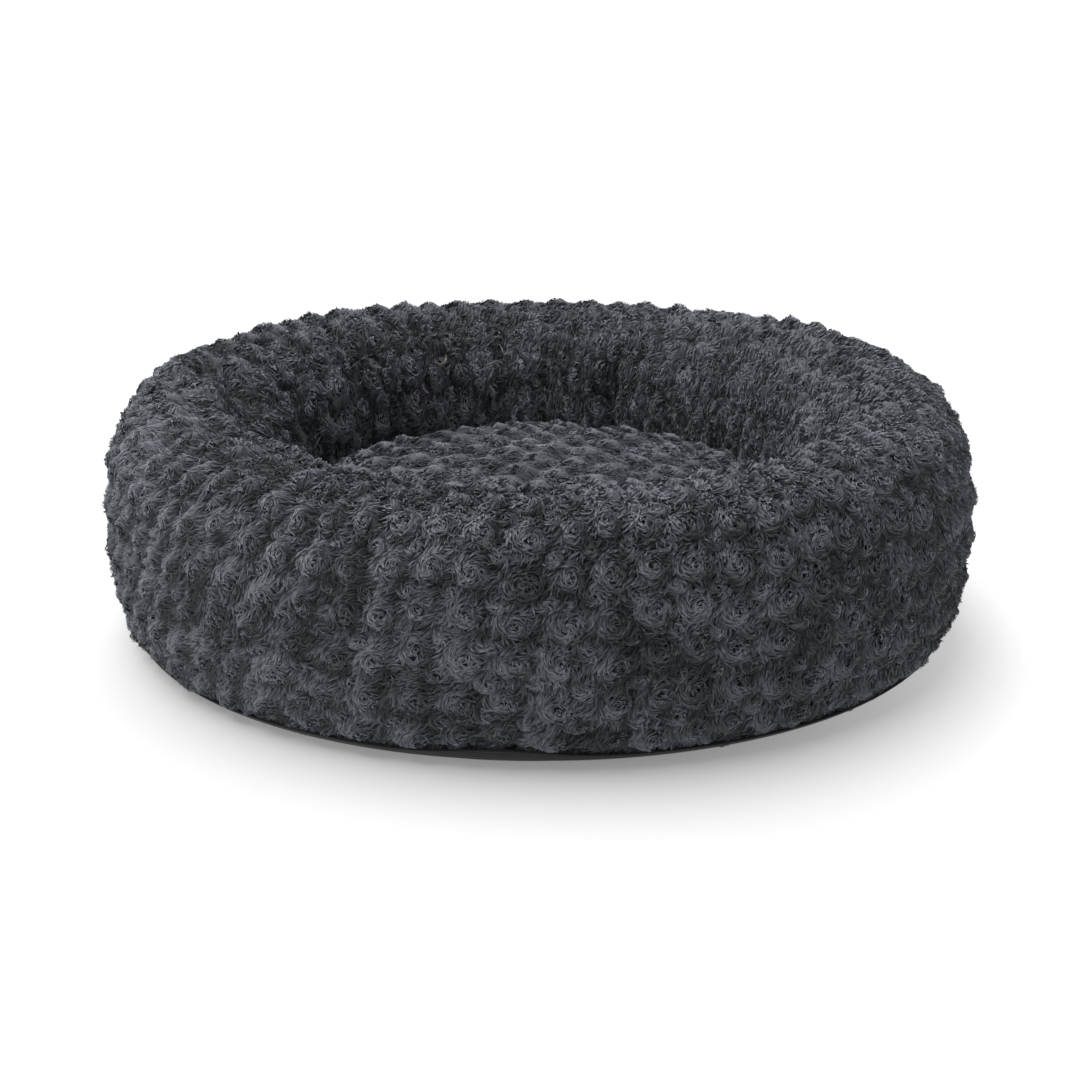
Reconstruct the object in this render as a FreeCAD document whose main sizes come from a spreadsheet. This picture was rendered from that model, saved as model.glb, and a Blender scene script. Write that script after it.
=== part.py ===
import FreeCAD, Part
import math
import os
import Sketcher

# Round pet bed: a stuffed plush bolster ring on a cloth base, and a loose plush cushion that lies in it.
# Millimetres, +Z up. The origin is the middle of the bed's footprint, on the floor.

os.makedirs("parts", exist_ok=True)
doc = FreeCAD.newDocument("pet_cushion_bed")
sheet = doc.addObject("Spreadsheet::Sheet", "size")

DRIVING_SIZES = [
    # bolster
    ("outer_radius", 275, "widest radius of the bolster, pile included"),
    ("bed_height", 154, "floor to the top of the crest"),
    ("bolster_width", 115, "widest line of the bolster to the narrowest line of its inner wall"),
    ("bulge_drop", 74, "top of the crest down to the bolster's widest line"),
    ("lower_round", 120, "radius of the outer wall below that line"),
    ("crest_inset", 50, "widest line to the circle under the crest, measured inwards"),
    ("crest_round", 38, "radius of the crest's round"),
    ("hollow_drop", 82, "top of the crest down to the narrowest line of the inner wall"),
    ("inner_round", 110, "radius of the inner wall below that line"),
    ("cover_thickness", 10, "plush backing cloth and pile"),
    ("panel_thickness", 2, "base cloth with its quilting"),
    ("rim_height", 10, "turned-up edge of the base cloth"),
    ("hem_width", 12, "tape over the seam at the foot of the inner wall"),
    ("hem_thickness", 1, "the same tape"),
    ("clearance", 0.3, "gap between pieces that lie on each other"),
    # cushion
    ("cushion_gap", 6, "cushion's side to the narrowest line of the inner wall"),
    ("cushion_top", 110, "floor to the cushion's crown"),
    ("shoulder_height", 62, "height where the cushion's side turns over"),
    ("shoulder_round", 25, "radius of that turn"),
    ("underarm_round", 16, "radius where the side turns in to the boxing strip"),
    ("seam_height", 36, "height of the seam between plush and boxing strip"),
    ("cloth_thickness", 1.5, "boxing strip and underside"),
    # zip round the boxing strip; angles in degrees
    ("zip_height", 18, "floor to the middle of the zip"),
    ("zip_angle", 100, "length of the zip round the cushion"),
    ("zip_end_angle", 5, "slider's middle to the end of the zip, when it stands at that end"),
    ("slot_height", 6, "slot in the boxing strip"),
    ("tape_width", 9, "each tape"),
    ("tape_thickness", 0.6, "each tape"),
    ("coil_radius", 0.9, "each row of teeth"),
    ("stop_angle", 3.4, "slider's middle to a stop's middle"),
    ("stop_length", 3, "along the zip"),
    ("stop_height", 4.6, "across the zip"),
    ("stop_depth", 1, "away from the cushion"),
    ("slider_length", 9, "along the zip"),
    ("slider_height", 8, "across the zip"),
    ("slider_depth", 1.4, "plate"),
    ("ear_length", 3, "ears that hold the pin of the pull, along the zip"),
    ("ear_depth", 3.6, "the same ears, away from the cushion"),
    ("ear_thickness", 1, "the same ears"),
    ("pin_reach", 2.3, "plate's face to the pin's middle"),
    ("pin_radius", 0.7, "pin of the pull"),
    ("pin_clearance", 0.08, "running clearance of the pull on its pin"),
    ("eye_radius", 1.6, "eye of the pull"),
    ("pull_length", 15, "pin to the pull's end"),
    ("pull_width", 4.4, "across the zip"),
    ("pull_thickness", 1.2, "the pull's blade"),
]
for row, (alias, value, meaning) in enumerate(DRIVING_SIZES, start=1):
    sheet.set(f"A{row}", meaning)
    sheet.set(f"B{row}", str(value))
    sheet.setAlias(f"B{row}", alias)
doc.recompute()


def number(text):
    """The present value of an expression, for a sketch's first guess."""
    value = sheet.evalExpression(text)
    return float(getattr(value, "Value", value))


# ---- derived places, as expressions ----
hollow_radius = "(size.outer_radius - size.bolster_width)"
crest_x = "(size.outer_radius - size.crest_inset)"
crest_z = "(size.bed_height - size.crest_round)"
bulge_z = "(size.bed_height - size.bulge_drop)"
hollow_z = "(size.bed_height - size.hollow_drop)"
floor_top = "(size.panel_thickness + size.clearance)"


def tangent_radius(reach, rise):
    """Radius of the arc that starts upright, reach away from the crest circle's middle and rise below it,
    and runs into the crest's round without a corner: (reach^2 + rise^2 - c^2) / (2 (reach - c))."""
    return f"(({reach}^2 + {rise}^2 - size.crest_round^2) / (2 * ({reach} - size.crest_round)))"


outer_upper = tangent_radius("size.crest_inset", f"({crest_z} - {bulge_z})")
inner_upper = tangent_radius(f"({crest_x} - {hollow_radius})", f"({crest_z} - {hollow_z})")


def crest_point(middle_x, middle_z, inset):
    """Where the crest's round, inset by this much, meets the arc about the given middle."""
    away = f"sqrt(({crest_x} - {middle_x})^2 + ({crest_z} - {middle_z})^2)"
    reach = f"(size.crest_round - {inset}) / {away}"
    return (
        f"{crest_x} + ({crest_x} - {middle_x}) * {reach}",
        f"{crest_z} + ({crest_z} - {middle_z}) * {reach}",
    )


def outer_wall_x(height, inset="0"):
    """Radius of the bolster's outer wall at a height below its widest line."""
    drop = f"({bulge_z} - {height})"
    return f"(size.outer_radius - size.lower_round + sqrt((size.lower_round - {inset})^2 - {drop}^2))"


def inner_wall_x(height, inset="0"):
    """Radius of the bolster's inner wall at a height below its narrowest line."""
    drop = f"({hollow_z} - {height})"
    return f"({hollow_radius} + size.inner_round - sqrt((size.inner_round - {inset})^2 - {drop}^2))"


def bolster_outline(inset, outer_foot, inner_foot):
    """The bolster's section, inset by this much: corners from the outer foot over the crest to the inner
    foot, and the radius of the arc that leaves each corner."""
    corners = [
        (outer_wall_x(outer_foot, inset), outer_foot),
        (f"size.outer_radius - {inset}", bulge_z),
        crest_point(f"(size.outer_radius - {outer_upper})", bulge_z, inset),
        crest_point(f"({hollow_radius} + {inner_upper})", hollow_z, inset),
        (f"{hollow_radius} + {inset}", hollow_z),
        (inner_wall_x(inner_foot, inset), inner_foot),
    ]
    rounds = ["size.lower_round", outer_upper, "size.crest_round", inner_upper, "size.inner_round"]
    return corners, [f"{radius} - {inset}" for radius in rounds]


cushion_radius = f"({hollow_radius} - size.cushion_gap)"
boxing_radius = f"({cushion_radius} - size.underarm_round)"
underarm_z = "(size.seam_height + size.underarm_round)"
shoulder_x = f"({cushion_radius} - size.shoulder_round)"
# The crown is one arc that meets the shoulder's round without a corner.
crown_rise = "(size.cushion_top - size.shoulder_height)"
crown_radius = (
    f"(({shoulder_x}^2 + {crown_rise}^2 - size.shoulder_round^2)"
    f" / (2 * ({crown_rise} - size.shoulder_round)))"
)


def cushion_outline(inset):
    """The cushion's plush section, inset by this much: corners from the seam, round the side to the crown,
    and the radius of the arc that leaves each corner, None for a straight line."""
    away = f"({crown_radius} - size.shoulder_round)"
    reach = f"(size.shoulder_round - {inset}) / {away}"
    corners = [
        (boxing_radius, f"size.seam_height + {inset}"),
        (f"{cushion_radius} - {inset}", underarm_z),
        (f"{cushion_radius} - {inset}", "size.shoulder_height"),
        (
            f"{shoulder_x} * (1 + {reach})",
            f"size.shoulder_height + ({crown_radius} - {crown_rise}) * {reach}",
        ),
        ("0", f"size.cushion_top - {inset}"),
    ]
    rounds = [
        f"size.underarm_round - {inset}",
        None,
        f"size.shoulder_round - {inset}",
        f"{crown_radius} - {inset}",
    ]
    return corners, rounds


# ---- making solids ----
def origin_plane(body, role):
    return next(plane for plane in body.Origin.OriginFeatures if plane.Role == role)


def section_sketch(body, name, corners, rounds):
    """A closed outline in the XZ plane. rounds[k] is None for a line from corner k to the next, or an arc's
    (radius, turn): turn 1 keeps the arc's middle on the left of the way along, -1 on the right."""
    sketch = body.newObject("Sketcher::SketchObject", name)
    sketch.AttachmentSupport = [(origin_plane(body, "XZ_Plane"), "")]
    sketch.MapMode = "FlatFace"
    points = [FreeCAD.Vector(number(x), number(z), 0) for x, z in corners]
    count = len(points)
    for k in range(count):
        start, end = points[k], points[(k + 1) % count]
        if rounds[k] is None:
            sketch.addGeometry(Part.LineSegment(start, end))
            continue
        radius, turn = number(rounds[k][0]), rounds[k][1]
        chord = end - start
        left = FreeCAD.Vector(-chord.y, chord.x, 0).normalize()
        sag = math.sqrt(radius**2 - (chord.Length / 2) ** 2)
        middle = (start + end) * 0.5 + left * (sag * turn)
        first, last = (start, end) if turn > 0 else (end, start)
        angles = [math.atan2(p.y - middle.y, p.x - middle.x) for p in (first, last)]
        circle = Part.Circle(middle, FreeCAD.Vector(0, 0, 1), radius)
        sketch.addGeometry(Part.ArcOfCircle(circle, *angles))
    backward = [rounds[k] is not None and rounds[k][1] < 0 for k in range(count)]
    starts = [2 if backward[k] else 1 for k in range(count)]
    ends = [1 if backward[k] else 2 for k in range(count)]
    for k in range(count):
        after = (k + 1) % count
        sketch.addConstraint(Sketcher.Constraint("Coincident", k, ends[k], after, starts[after]))
    for k, (x, z) in enumerate(corners):
        for axis, text, line in (("DistanceX", x, -2), ("DistanceY", z, -1)):
            if text == "0":
                sketch.addConstraint(Sketcher.Constraint("PointOnObject", k, starts[k], line))
                continue
            index = sketch.addConstraint(Sketcher.Constraint(axis, -1, 1, k, starts[k], number(text)))
            sketch.setExpression(f"Constraints[{index}]", text)
        if rounds[k] is not None:
            index = sketch.addConstraint(Sketcher.Constraint("Radius", k, number(rounds[k][0])))
            sketch.setExpression(f"Constraints[{index}]", rounds[k][0])
    return sketch


def turn_section(body, kind, sketch, angle=None):
    """Turn a sketch about the vertical axis, all the way or through an angle from +X towards +Y."""
    feature = body.newObject(f"PartDesign::{kind}", f"{sketch.Name}_turned")
    feature.Profile = sketch
    feature.ReferenceAxis = (sketch, ["V_Axis"])
    feature.Angle = 360
    if angle:
        feature.setExpression("Angle", angle)
    return feature


def turned_piece(label, corners, rounds, angle=None):
    body = doc.addObject("PartDesign::Body", label)
    sketch = section_sketch(body, f"{label}_section", corners, rounds)
    turn_section(body, "Revolution", sketch, angle)
    return body


def band_piece(label, inner, outer, low, high, angle=None):
    """A ring or part of a ring with a rectangular section."""
    corners = [(inner, low), (outer, low), (outer, high), (inner, high)]
    return turned_piece(label, corners, [None] * 4, angle)


def forward(radii):
    return [None if radius is None else (radius, 1) for radius in radii]


def backward(radii):
    return [None if radius is None else (radius, -1) for radius in reversed(radii)]


def shell_piece(label, outside, inside):
    """A piece with an outer and an inner outline, joined straight at their ends."""
    corners = outside[0] + inside[0][::-1]
    rounds = forward(outside[1]) + [None] + backward(inside[1]) + [None]
    return turned_piece(label, corners, rounds)


def bind(item, **expressions):
    for prop, text in expressions.items():
        item.setExpression(prop.replace("__", "."), text)
    return item


def box(name, across, deep, tall, x, y, z):
    item = doc.addObject("Part::Box", name)
    bind(item, Length=across, Width=deep, Height=tall)
    return bind(item, Placement__Base__x=x, Placement__Base__y=y, Placement__Base__z=z)


def rod(name, radius, tall, y, z):
    item = doc.addObject("Part::Cylinder", name)
    return bind(item, Radius=radius, Height=tall, Placement__Base__y=y, Placement__Base__z=z)


def turn_about_z(item, angle):
    """Turn a finished piece about the bed's axis, by an angle in degrees."""
    item.Placement.Rotation = FreeCAD.Rotation(FreeCAD.Vector(0, 0, 1), number(angle))
    bind(item, Placement__Rotation__Angle=f"({angle}) * 1 deg")
    return item


# ---- bolster ----
rim_top = "(size.rim_height + size.clearance)"
cover_inset = "size.cover_thickness"
fill_inset = "(size.cover_thickness + size.clearance)"

bolster_cover = shell_piece(
    "bolster_cover",
    bolster_outline("0", rim_top, floor_top),
    bolster_outline(cover_inset, rim_top, floor_top),
)

fill_corners, fill_rounds = bolster_outline(fill_inset, floor_top, floor_top)
bolster_fill = turned_piece("bolster_fill", fill_corners, forward(fill_rounds) + [None])

panel_corners = [
    ("0", "0"),
    (outer_wall_x("0"), "0"),
    (outer_wall_x("size.rim_height"), "size.rim_height"),
    (f"{outer_wall_x('size.rim_height')} - size.panel_thickness", "size.rim_height"),
    (f"{outer_wall_x('size.panel_thickness')} - size.panel_thickness", "size.panel_thickness"),
    ("0", "size.panel_thickness"),
]
base_panel = turned_piece("base_panel", panel_corners, [None] * len(panel_corners))

# The inner wall leans inwards as it rises, so the tape's upper edge is the one that sets its radius.
hem_top = f"({floor_top} + size.hem_thickness)"
hem_outer = f"({inner_wall_x(hem_top)} - size.clearance)"
hem_tape = band_piece("hem_tape", f"{hem_outer} - size.hem_width", hem_outer, floor_top, hem_top)

# ---- cushion ----
cushion_top_cover = shell_piece("cushion_top_cover", cushion_outline("0"), cushion_outline(cover_inset))

underside_top = f"({floor_top} + size.cloth_thickness)"
cushion_underside_corners = [
    ("0", floor_top),
    (boxing_radius, floor_top),
    (boxing_radius, underside_top),
    ("0", underside_top),
]
cushion_underside = turned_piece("cushion_underside", cushion_underside_corners, [None] * 4)

boxing_outer = f"({boxing_radius} - size.clearance)"
boxing_inner = f"({boxing_outer} - size.cloth_thickness)"
cushion_boxing = band_piece(
    "cushion_boxing",
    boxing_inner,
    boxing_outer,
    f"{underside_top} + size.clearance",
    "size.seam_height + size.cover_thickness",
)
slot_corners = [
    (f"{boxing_inner} - size.cloth_thickness", "size.zip_height - size.slot_height / 2"),
    (f"{boxing_outer} + size.cloth_thickness", "size.zip_height - size.slot_height / 2"),
    (f"{boxing_outer} + size.cloth_thickness", "size.zip_height + size.slot_height / 2"),
    (f"{boxing_inner} - size.cloth_thickness", "size.zip_height + size.slot_height / 2"),
]
doc.recompute()
whole_strip = cushion_boxing.Shape.Volume
turn_section(
    cushion_boxing,
    "Groove",
    section_sketch(cushion_boxing, "zip_slot", slot_corners, [None] * 4),
    "size.zip_angle * 1 deg",
)

tape_outer = f"({boxing_inner} - size.clearance)"
tape_inner = f"({tape_outer} - size.tape_thickness)"
cushion_fill_radius = f"({tape_inner} - size.clearance)"
dome_corners, dome_rounds = cushion_outline(fill_inset)
cushion_fill_corners = [
    ("0", f"{underside_top} + size.clearance"),
    (cushion_fill_radius, f"{underside_top} + size.clearance"),
    (cushion_fill_radius, f"size.seam_height + {fill_inset}"),
] + dome_corners
cushion_fill = turned_piece(
    "cushion_fill", cushion_fill_corners, [None, None, None] + forward(dome_rounds) + [None]
)

# ---- zip: two tapes, two rows of teeth, two stops, a slider and its pull ----
seam_gap = "(size.clearance / 2)"
zip_tape_upper = band_piece(
    "zip_tape_upper",
    tape_inner,
    tape_outer,
    f"size.zip_height + {seam_gap}",
    f"size.zip_height + {seam_gap} + size.tape_width",
    "size.zip_angle * 1 deg",
)
zip_tape_lower = band_piece(
    "zip_tape_lower",
    tape_inner,
    tape_outer,
    f"size.zip_height - {seam_gap} - size.tape_width",
    f"size.zip_height - {seam_gap}",
    "size.zip_angle * 1 deg",
)
coil_middle = f"({tape_outer} + size.clearance + size.coil_radius)"


def teeth(name, side):
    row = doc.addObject("Part::Torus", name)
    bind(row, Radius1=coil_middle, Radius2="size.coil_radius", Angle3="size.zip_angle * 1 deg")
    lift = f"size.zip_height {side} ({seam_gap} + size.coil_radius)"
    return bind(row, Placement__Base__z=lift)


zip_teeth_upper = teeth("zip_teeth_upper", "+")
zip_teeth_lower = teeth("zip_teeth_lower", "-")

slider_face = f"({coil_middle} + size.coil_radius + size.clearance)"
slider_front = f"({slider_face} + size.slider_depth)"
pin_y = f"({slider_front} + size.pin_reach)"
ear_gap = "(size.pull_width / 2 + size.clearance)"


def centred_box(name, across, deep, tall, y, z):
    """A box that stands either side of the plane x = 0, on the given face and about the given height."""
    return box(name, across, deep, tall, f"-{across} / 2", y, f"{z} - {tall} / 2")


slider_plate = centred_box(
    "slider_plate",
    "size.slider_length",
    "size.slider_depth",
    "size.slider_height",
    slider_face,
    "size.zip_height",
)
ears = [
    centred_box(
        f"slider_ear_{place}",
        "size.ear_length",
        "size.ear_depth",
        "size.ear_thickness",
        slider_front,
        f"size.zip_height {side} ({ear_gap} + size.ear_thickness / 2)",
    )
    for place, side in (("upper", "+"), ("lower", "-"))
]
pin = rod("slider_pin", "size.pin_radius", f"2 * {ear_gap}", pin_y, f"size.zip_height - {ear_gap}")
zip_slider = doc.addObject("Part::MultiFuse", "zip_slider")
zip_slider.Shapes = [slider_plate, pin] + ears

pull_low = "size.zip_height - size.pull_width / 2"
pull_blade = box(
    "pull_blade",
    "size.pull_length",
    "size.pull_thickness",
    "size.pull_width",
    "0",
    f"{pin_y} - size.pull_thickness / 2",
    pull_low,
)
pull_eye = rod("pull_eye", "size.eye_radius", "size.pull_width", pin_y, pull_low)
pull_whole = doc.addObject("Part::Fuse", "pull_whole")
pull_whole.Base = pull_blade
pull_whole.Tool = pull_eye
pull_hole = rod("pull_hole", "size.pin_radius + size.pin_clearance", "size.pull_width", pin_y, pull_low)
zip_pull = doc.addObject("Part::Cut", "zip_pull")
zip_pull.Base = pull_whole
zip_pull.Tool = pull_hole


def zip_stop(name, angle):
    stop = centred_box(
        f"{name}_block",
        "size.stop_length",
        "size.stop_depth",
        "size.stop_height",
        slider_face,
        "size.zip_height",
    )
    placed = doc.addObject("Part::Compound", name)
    placed.Links = [stop]
    return turn_about_z(placed, angle)


zip_top_stop = zip_stop("zip_top_stop", "-size.stop_angle")
zip_bottom_stop = zip_stop("zip_bottom_stop", "size.zip_angle - 2 * size.zip_end_angle + size.stop_angle")

# The closed slider stands at the back of the cushion, on +Y.
zip_start = "90 - size.zip_end_angle"
for piece in (cushion_boxing, zip_tape_upper, zip_tape_lower, zip_teeth_upper, zip_teeth_lower):
    turn_about_z(piece, zip_start)

pieces = [
    bolster_cover,
    bolster_fill,
    base_panel,
    hem_tape,
    cushion_top_cover,
    cushion_boxing,
    cushion_underside,
    cushion_fill,
    zip_tape_upper,
    zip_tape_lower,
    zip_teeth_upper,
    zip_teeth_lower,
    zip_top_stop,
    zip_bottom_stop,
    zip_slider,
    zip_pull,
]
doc.recompute()

for item in doc.Objects:
    if {"Invalid", "Error"} & set(item.State):
        raise RuntimeError(f"{item.Name} did not build: {item.State}")
if cushion_boxing.Shape.Volume >= whole_strip:
    raise RuntimeError("the zip's slot removed nothing from the boxing strip")

for piece in pieces:
    if piece.Shape.isNull() or not piece.Shape.isValid():
        raise RuntimeError(f"{piece.Label} has no valid shape")
    piece.Shape.exportStep(f"parts/{piece.Label}.step")
    bounds = piece.Shape.BoundBox
    print(
        f"{piece.Label:18s} {len(piece.Shape.Solids)} solid  {piece.Shape.Volume / 1000:9.2f} cm3  "
        f"x {bounds.XMin:7.1f} {bounds.XMax:7.1f}  y {bounds.YMin:7.1f} {bounds.YMax:7.1f}  "
        f"z {bounds.ZMin:6.1f} {bounds.ZMax:6.1f}"
    )
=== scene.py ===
# %% [markdown]
# # A round plush pet bed
# The bed is a stuffed ring (the bolster) sewn to a black base cloth, with a loose cushion lying in it.
# Both are covered in rosette plush: short pile that the mill presses into rows of little roses.
# A smooth shape with a bumpy finish would have no hairs, so this lesson makes each cloth surface with numpy
# and grows the pile on it as real mesh strands.

# %% The frame
import math
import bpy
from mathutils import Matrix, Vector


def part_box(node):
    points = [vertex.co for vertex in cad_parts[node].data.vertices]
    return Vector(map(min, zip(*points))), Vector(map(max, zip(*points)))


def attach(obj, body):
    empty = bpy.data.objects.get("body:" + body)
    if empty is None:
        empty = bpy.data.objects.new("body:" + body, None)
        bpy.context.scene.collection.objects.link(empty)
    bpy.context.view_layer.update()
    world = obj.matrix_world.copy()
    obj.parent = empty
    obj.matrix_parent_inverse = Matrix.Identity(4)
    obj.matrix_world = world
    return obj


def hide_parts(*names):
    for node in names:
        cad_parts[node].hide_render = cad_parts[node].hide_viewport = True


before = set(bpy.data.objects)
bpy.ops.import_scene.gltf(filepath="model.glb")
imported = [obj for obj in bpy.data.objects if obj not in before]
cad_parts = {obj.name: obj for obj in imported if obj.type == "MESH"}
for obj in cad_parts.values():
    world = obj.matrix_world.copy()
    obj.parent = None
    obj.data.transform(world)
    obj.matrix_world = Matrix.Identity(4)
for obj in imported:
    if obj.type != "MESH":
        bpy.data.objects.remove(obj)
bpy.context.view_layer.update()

from types import SimpleNamespace

import bmesh
import bpy
import numpy as np
from mathutils import Vector

# %% [markdown]
# ## Sizes
# Lengths are in metres. The large ones come from the frame, so the looks follow the design.
# The pile has its own named sizes: a mill sets them, whatever the size of the bed.

# %% Sizes of the bed and of its plush
cover_high = Vector(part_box("bolster_cover")[1])
cushion_high = Vector(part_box("cushion_top_cover")[1])
OUTER_RADIUS = cover_high.x
BED_HEIGHT = cover_high.z
CUSHION_RADIUS = cushion_high.x
CUSHION_TOP = cushion_high.z

ROSE_PITCH = 0.026
PILE_DEPTH = 0.0055
ROSES_ROUND = round(2 * math.pi * OUTER_RADIUS / ROSE_PITCH)
CLOTH_ROUND = ROSES_ROUND * ROSE_PITCH
random = np.random.default_rng(7)
print(f"bed {2000 * OUTER_RADIUS:.0f} by {1000 * BED_HEIGHT:.0f} mm, {ROSES_ROUND} roses round it")

# %% [markdown]
# ## Camera
# A long lens from a little above shows the ring almost as a drawing would, hollow and front in one view. A
# short lens would swell the front.

# %% Camera
CAMERA_RISE = math.radians(17.2)
CAMERA_AWAY = 6.84 * OUTER_RADIUS
TARGET_HEIGHT = 0.2775 * OUTER_RADIUS
LENS_MM = 97.7
TILT_DOWN = math.radians(0.74)

target = Vector((0, 0, TARGET_HEIGHT))
camera_data = bpy.data.cameras.new("camera")
camera_data.lens = LENS_MM
camera_data.clip_start = 0.05
camera = bpy.data.objects.new("camera", camera_data)
bpy.context.collection.objects.link(camera)
camera.location = target + CAMERA_AWAY * Vector((0, -math.cos(CAMERA_RISE), math.sin(CAMERA_RISE)))
camera.rotation_euler = (math.pi / 2 - CAMERA_RISE - TILT_DOWN, 0, 0)
bpy.context.scene.camera = camera
print("camera at", [round(value, 3) for value in camera.location])

# %% [markdown]
# ## Helpers for finishes and meshes
# A finish is a tree of nodes, and a mesh is arrays of points and corners. Both could be made by hand in the
# window, but a helper for each keeps the later cells about cloth.

# %% Finishes
def set_inputs(node, values):
    """Give a node's inputs plain values, by their names."""
    for name, value in values.items():
        node.inputs[name].default_value = value


def node_adder(tree):
    """A function that adds a node to the tree. Its inputs get plain values, or links from other nodes."""

    def add(kind, inputs=None, **settings):
        node = tree.nodes.new(kind)
        for key, value in settings.items():
            setattr(node, key, value)
        for key, value in (inputs or {}).items():
            if isinstance(value, bpy.types.NodeSocket):
                tree.links.new(value, node.inputs[key])
            else:
                node.inputs[key].default_value = value
        return node

    return add


def node_material(name, plain):
    """A new material whose shader has the plain values given by name, and two functions: add puts a node in
    its tree, and feed links a node's output to one of the shader's inputs."""
    material = bpy.data.materials.new(name)
    material.use_nodes = True
    tree = material.node_tree
    shader = tree.nodes["Principled BSDF"]
    set_inputs(shader, plain)

    def feed(input_name, output):
        tree.links.new(output, shader.inputs[input_name])

    return material, node_adder(tree), feed


def grained_colour(add, feed, scale, detail, dark, light):
    """Noise in the object's own lengths picks the base colour between dark and light. Returns the noise."""
    place = add("ShaderNodeTexCoord")
    grain = add("ShaderNodeTexNoise", {"Vector": place.outputs["Object"], "Scale": scale, "Detail": detail})
    ramp = add("ShaderNodeValToRGB", {"Fac": grain.outputs["Fac"]})
    ramp.color_ramp.elements[0].color = (*dark, 1)
    ramp.color_ramp.elements[1].color = (*light, 1)
    feed("Base Color", ramp.outputs["Color"])
    return grain.outputs["Fac"]


def emboss(add, feed, height, distance, strength):
    """Light falls as if height, counted in units of distance, stood on the surface."""
    raised = add("ShaderNodeBump", {"Height": height, "Distance": distance, "Strength": strength})
    feed("Normal", raised.outputs["Normal"])

# %% Meshes from arrays
def mesh_from_arrays(name, points, corner_points, begins):
    """A new object at the origin from its points, the point of each face corner, and the number of each
    face's first corner."""
    mesh = bpy.data.meshes.new(name)
    mesh.vertices.add(len(points))
    mesh.vertices.foreach_set("co", points.astype(np.float32).ravel())
    mesh.loops.add(len(corner_points))
    mesh.loops.foreach_set("vertex_index", corner_points.astype(np.int32))
    mesh.polygons.add(len(begins))
    mesh.polygons.foreach_set("loop_start", begins.astype(np.int32))
    mesh.polygons.foreach_set("use_smooth", np.ones(len(begins), bool))
    mesh.update(calc_edges=True)
    item = bpy.data.objects.new(name, mesh)
    bpy.context.collection.objects.link(item)
    return item


def mesh_object(name, points, faces):
    """The same for faces with equal corner counts: each begins where the one before it ends."""
    begins = np.arange(0, faces.size, faces.shape[1])
    return mesh_from_arrays(name, points.reshape(-1, 3), faces.ravel(), begins)


def thicken(item, thickness):
    """Give a sheet its thickness, inwards from the side that its faces look to."""
    modifier = item.modifiers.new("thickness", "SOLIDIFY")
    modifier.thickness, modifier.offset = thickness, -1

# %% [markdown]
# ## Floor
# The bed stands on pale paper, which a studio lights on its own until the wide grey shadow is gone. Here that
# light is painted into the paper as a glow: painted light most where the shadow falls, and least close in
# front of the bed, a painted shadow there.

# %% Floor
FLOOR_HALF = 60.0
FLOOR_DROP = 0.0005
PAINTED_LIGHT_CENTRE, PAINTED_LIGHT_NEAR, PAINTED_LIGHT_FAR = (0.47, -0.07, 0), 0.05, 0.48
PAINTED_SHADOW_CENTRE, PAINTED_SHADOW_NEAR, PAINTED_SHADOW_FAR = (0, -0.2, 0), 0.04, 0.3


def fading(add, place, centre, near, far, at_near, at_far):
    """Smooth change from one level to another as the distance from centre grows from near to far."""
    distance = add("ShaderNodeVectorMath", {0: place, 1: centre}, operation="DISTANCE")
    ranges = {"From Min": near, "From Max": far, "To Min": at_near, "To Max": at_far}
    inputs = {"Value": distance.outputs["Value"], **ranges}
    return add("ShaderNodeMapRange", inputs, interpolation_type="SMOOTHSTEP").outputs["Result"]


floor = mesh_object(
    "floor",
    np.array([[-1, -1, 0], [1, -1, 0], [1, 1, 0], [-1, 1, 0]]) * FLOOR_HALF - [0, 0, FLOOR_DROP],
    np.array([[0, 1, 2, 3]]),
)
pale_floor_with_painted_light, add, feed = node_material("pale_floor_with_painted_light", {"Roughness": 0.9, "Emission Color": (1, 1, 1, 1)})
place = add("ShaderNodeTexCoord").outputs["Object"]
speckle = add("ShaderNodeTexNoise", {"Vector": place, "Scale": 3.0})
paper = add("ShaderNodeMapRange", {"Value": speckle.outputs["Fac"], "To Min": 0.57, "To Max": 0.59})
feed("Base Color", paper.outputs["Result"])
# painted light: the paper glows most round a place right of the bed, where its shadow falls
painted_light = fading(add, place, PAINTED_LIGHT_CENTRE, PAINTED_LIGHT_NEAR, PAINTED_LIGHT_FAR, 0.66, 0.33)
narrow = add("ShaderNodeVectorMath", {0: place, 1: (0.5, 1, 0)}, operation="MULTIPLY")
# painted shadow: less glow close in front of the bed, where the contact shadow stays dark
painted_shadow = fading(add, narrow.outputs["Vector"], PAINTED_SHADOW_CENTRE, PAINTED_SHADOW_NEAR, PAINTED_SHADOW_FAR, -0.12, 0.0)
floor_painted_light = add("ShaderNodeMath", {0: painted_light, 1: painted_shadow}, operation="ADD")
feed("Emission Strength", floor_painted_light.outputs[0])
floor.data.materials.append(pale_floor_with_painted_light)
print(f"floor {2 * FLOOR_HALF:.0f} m across")

# %% [markdown]
# ## Studio light
# A very large soft light stands high on the left, so the right side and the hollow fall into shade. A weak
# one from the left fills without a second shadow, and a faint cool sky does the rest.

# %% Studio light
def sun_light(name, towards, strength, spread_degrees, shadows=True):
    """A very large soft light a long way off: every place gets the same light from the same side. Without
    shadows it only fills."""
    data = bpy.data.lights.new(name, "SUN")
    data.energy = strength
    data.angle = math.radians(spread_degrees)
    data.use_shadow = shadows
    light = bpy.data.objects.new(name, data)
    bpy.context.collection.objects.link(light)
    light.rotation_euler = Vector(towards).to_track_quat("-Z", "Y").to_euler()


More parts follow.
